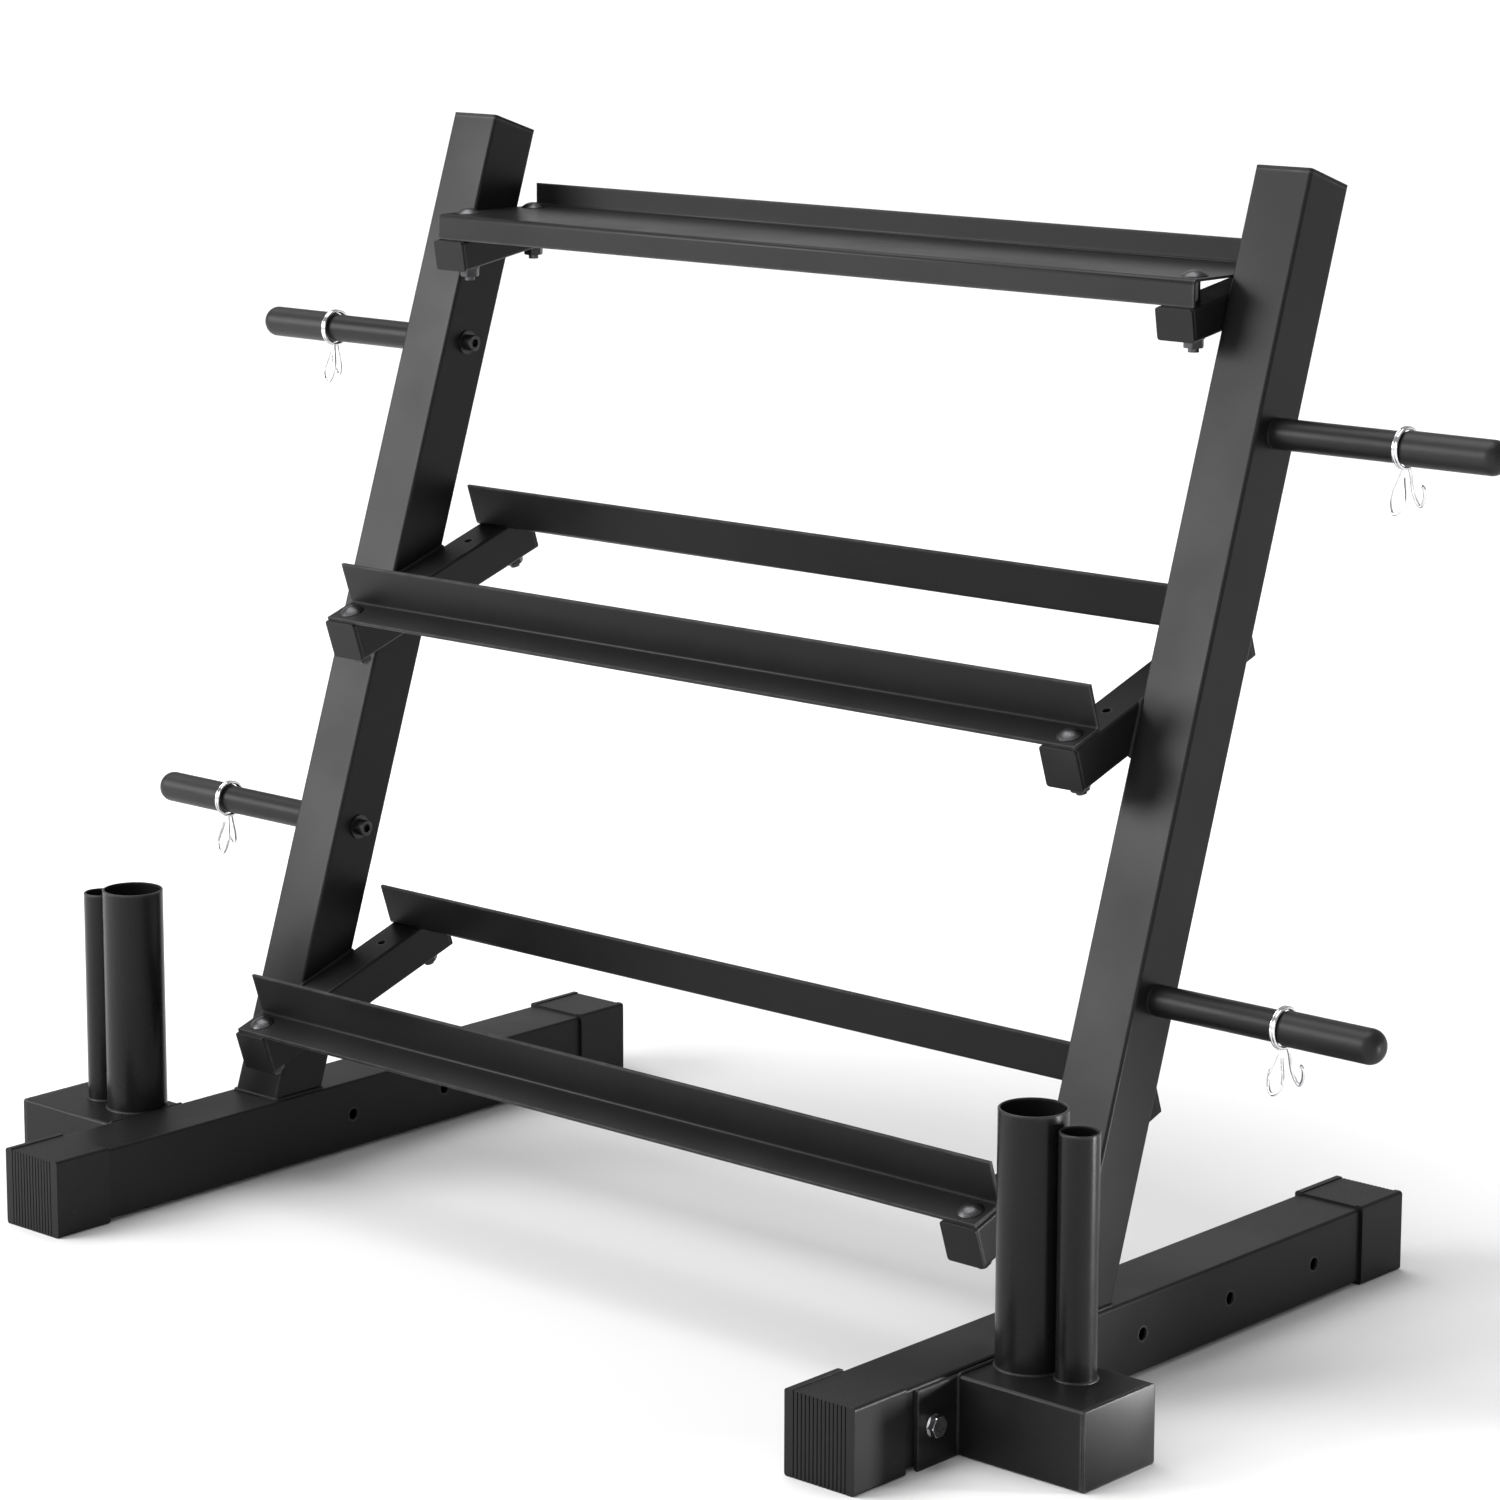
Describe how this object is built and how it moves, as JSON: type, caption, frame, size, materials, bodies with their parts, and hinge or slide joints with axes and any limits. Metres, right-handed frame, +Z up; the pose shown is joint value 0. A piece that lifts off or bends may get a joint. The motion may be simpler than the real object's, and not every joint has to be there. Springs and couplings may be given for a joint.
{
  "type": "dumbbell rack",
  "caption": "Leaning black steel weight rack with a level kettlebell tray, sloped dumbbell rails, plate pegs with spring clips, and upright bar sleeves.",
  "frame": {"origin": "on the floor, in the middle of the bounding box", "axes": "+X to the right as seen from the front, +Y to the back, +Z up"},
  "size_m": [1.528, 0.79, 1.0412],
  "materials": {
    "black_powder_coat": "satin powder coat with a fine texture",
    "base_cap_plastic": "moulded black plastic, ribbed end",
    "plug_plastic": "moulded black plastic",
    "peg_cap_plastic": "soft satin black plastic",
    "clip_chrome": "bright plated spring wire",
    "zinc_steel": "bright zinc plate",
    "dome_bolt_steel": "satin grey plate",
    "black_hardware": "black oxide"
  },
  "bodies": {
    "rack": {"arm_bottom_left": "black_powder_coat", "arm_bottom_plugs": "plug_plastic", "arm_bottom_right": "black_powder_coat", "arm_middle_left": "black_powder_coat", "arm_middle_plugs": "plug_plastic", "arm_middle_right": "black_powder_coat", "arm_top_left": "black_powder_coat", "arm_top_plugs": "plug_plastic", "arm_top_right": "black_powder_coat", "bar_sleeve_large_left": "black_powder_coat", "bar_sleeve_large_right": "black_powder_coat", "bar_sleeve_small_left": "black_powder_coat", "bar_sleeve_small_right": "black_powder_coat", "base_cap_front_left": "base_cap_plastic", "base_cap_front_right": "base_cap_plastic", "base_cap_rear_left": "base_cap_plastic", "base_cap_rear_right": "base_cap_plastic", "base_tube_left": "black_powder_coat", "base_tube_right": "black_powder_coat", "holder_arm_left": "black_powder_coat", "holder_arm_right": "black_powder_coat", "holder_bolts": "zinc_steel", "holder_end_plate_left": "black_powder_coat", "holder_end_plate_right": "black_powder_coat", "holder_plate_left": "black_powder_coat", "holder_plate_right": "black_powder_coat", "holder_washers": "zinc_steel", "holder_weld_nuts": "zinc_steel", "kettlebell_tray": "black_powder_coat", "peg_bolts": "black_hardware", "peg_inserts": "black_hardware", "peg_lower_cap_left": "peg_cap_plastic", "peg_lower_cap_right": "peg_cap_plastic", "peg_lower_left": "black_powder_coat", "peg_lower_right": "black_powder_coat", "peg_upper_cap_left": "peg_cap_plastic", "peg_upper_cap_right": "peg_cap_plastic", "peg_upper_left": "black_powder_coat", "peg_upper_right": "black_powder_coat", "peg_washers": "black_hardware", "rail_bottom_bolts": "dome_bolt_steel", "rail_bottom_front": "black_powder_coat", "rail_bottom_rear": "black_powder_coat", "rail_middle_bolts": "dome_bolt_steel", "rail_middle_front": "black_powder_coat", "rail_middle_rear": "black_powder_coat", "rail_nuts": "black_hardware", "rail_washers": "black_hardware", "tray_bolts": "dome_bolt_steel", "tray_nuts": "black_hardware", "tray_taper_washers": "black_hardware", "upright_left": "black_powder_coat", "upright_right": "black_powder_coat", "upright_top_plug_left": "plug_plastic", "upright_top_plug_right": "plug_plastic"},
    "clip_upper_right": {"spring_clip_upper_right": "clip_chrome"},
    "clip_upper_left": {"spring_clip_upper_left": "clip_chrome"},
    "clip_lower_right": {"spring_clip_lower_right": "clip_chrome"},
    "clip_lower_left": {"spring_clip_lower_left": "clip_chrome"}
  },
  "joints": [
    {"name": "clip_upper_right_slide", "type": "slide", "parent": "rack", "child": "clip_upper_right", "axis": [1, 0, 0], "range_m": [0, 0.13]},
    {"name": "clip_upper_left_slide", "type": "slide", "parent": "rack", "child": "clip_upper_left", "axis": [-1, 0, 0], "range_m": [0, 0.13]},
    {"name": "clip_lower_right_slide", "type": "slide", "parent": "rack", "child": "clip_lower_right", "axis": [1, 0, 0], "range_m": [0, 0.13]},
    {"name": "clip_lower_left_slide", "type": "slide", "parent": "rack", "child": "clip_lower_left", "axis": [-1, 0, 0], "range_m": [0, 0.13]}
  ]
}
